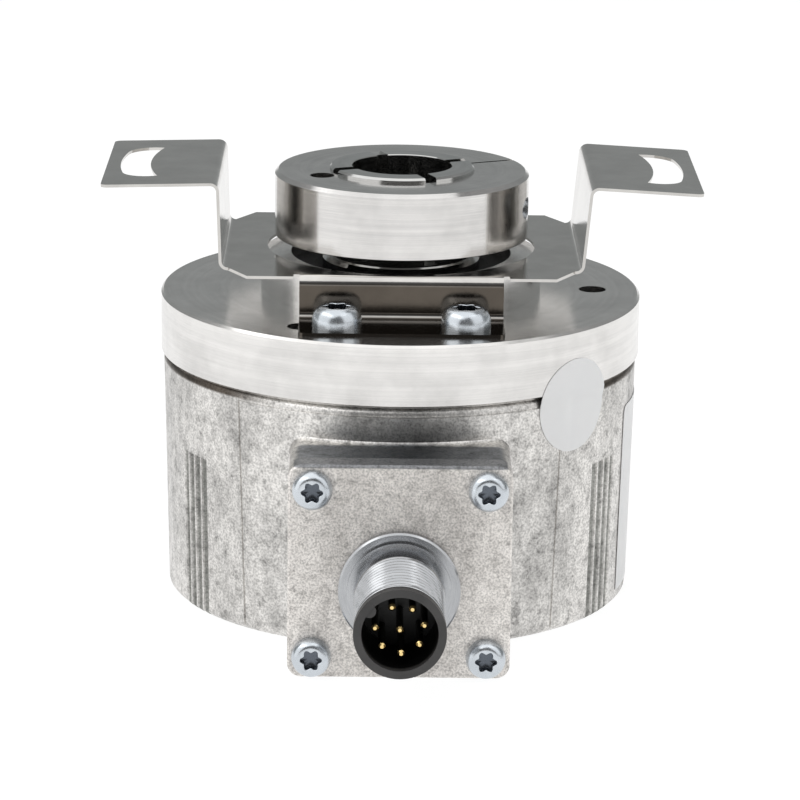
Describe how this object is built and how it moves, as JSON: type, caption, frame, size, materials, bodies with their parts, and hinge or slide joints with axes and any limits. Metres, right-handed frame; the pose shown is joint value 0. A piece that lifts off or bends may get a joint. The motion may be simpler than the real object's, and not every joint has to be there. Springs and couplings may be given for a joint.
{
  "type": "hollow shaft rotary encoder",
  "caption": "Round hollow shaft rotary encoder with a slit clamp ring, a slotted spring bracket on its flange and a round pin connector on a side block.",
  "frame": {"origin": "on the shaft axis, in the plane of the flange's front face", "axes": "+Z along the shaft axis towards the clamp ring, -Y towards the connector, +X to the right seen from the connector side"},
  "size_m": [0.0708, 0.0835, 0.052],
  "materials": {
    "turned_aluminium": "fine turned",
    "bearing_steel": "polished",
    "seal_rubber": "matt black",
    "spring_steel": "dark spring steel",
    "stainless_sheet": "bright rolled sheet",
    "zinc_steel": "zinc plated",
    "die_cast_metal": "as die cast",
    "post_brass": "turned",
    "plate_metal": "fine sand cast",
    "nickel_plate": "nickel plated",
    "insert_plastic": "moulded",
    "gold_contact": "gold plated",
    "circuit_board": "solder mask",
    "cable_plastic": "flat cable",
    "chip_plastic": "moulded",
    "capacitor_metal": "drawn can",
    "lamp_lens": "clear",
    "disc_glass": "clear with a coded track",
    "shaft_steel": "turned",
    "ring_steel": "turned and brushed",
    "cage_brass": "stamped"
  },
  "bodies": {
    "stator": {"bearing_flange": "turned_aluminium", "front_bearing_outer_ring": "bearing_steel", "rear_bearing_outer_ring": "bearing_steel", "shaft_seal": "seal_rubber", "bearing_retainer": "spring_steel", "mounting_bracket": "stainless_sheet", "bracket_screws": "zinc_steel", "housing": "die_cast_metal", "housing_seal": "seal_rubber", "rear_seal": "seal_rubber", "housing_screws": "zinc_steel", "upper_posts": "post_brass", "middle_posts": "post_brass", "lower_posts": "post_brass", "connector_plate": "plate_metal", "plate_gasket": "seal_rubber", "plate_screws": "zinc_steel", "connector_barrel": "nickel_plate", "connector_insert": "insert_plastic", "connector_pins": "gold_contact", "connector_nut": "nickel_plate", "connector_board": "circuit_board", "flat_cable": "cable_plastic", "cable_header": "insert_plastic", "sensor_board": "circuit_board", "main_board": "circuit_board", "board_chips": "chip_plastic", "board_capacitors": "capacitor_metal", "lamp_holder": "insert_plastic", "lamp": "lamp_lens", "light_sensor": "chip_plastic", "reticle": "disc_glass"},
    "rotor": {"hollow_shaft": "shaft_steel", "clamp_ring": "ring_steel", "clamp_screw": "zinc_steel", "front_bearing_inner_ring": "bearing_steel", "rear_bearing_inner_ring": "bearing_steel", "bearing_spacer": "shaft_steel", "shaft_retainer": "spring_steel", "disc_hub": "turned_aluminium", "hub_screws": "zinc_steel", "code_disc": "disc_glass", "disc_clamp": "turned_aluminium"},
    "front_ball_set": {"front_bearing_balls": "bearing_steel", "front_bearing_cage": "cage_brass"},
    "rear_ball_set": {"rear_bearing_balls": "bearing_steel", "rear_bearing_cage": "cage_brass"}
  },
  "joints": [
    {"name": "shaft_spin", "type": "hinge", "parent": "stator", "child": "rotor", "pos_m": [0, 0, 0], "axis": [0, 0, 1], "continuous": true},
    {"name": "front_balls_spin", "type": "hinge", "parent": "stator", "child": "front_ball_set", "pos_m": [0, 0, -0.0031], "axis": [0, 0, 1], "continuous": true},
    {"name": "rear_balls_spin", "type": "hinge", "parent": "stator", "child": "rear_ball_set", "pos_m": [0, 0, -0.0121], "axis": [0, 0, 1], "continuous": true}
  ],
  "couplings": [
    {"joint": "front_balls_spin", "follows": "shaft_spin", "ratio": 0.43953},
    {"joint": "rear_balls_spin", "follows": "shaft_spin", "ratio": 0.43953}
  ]
}
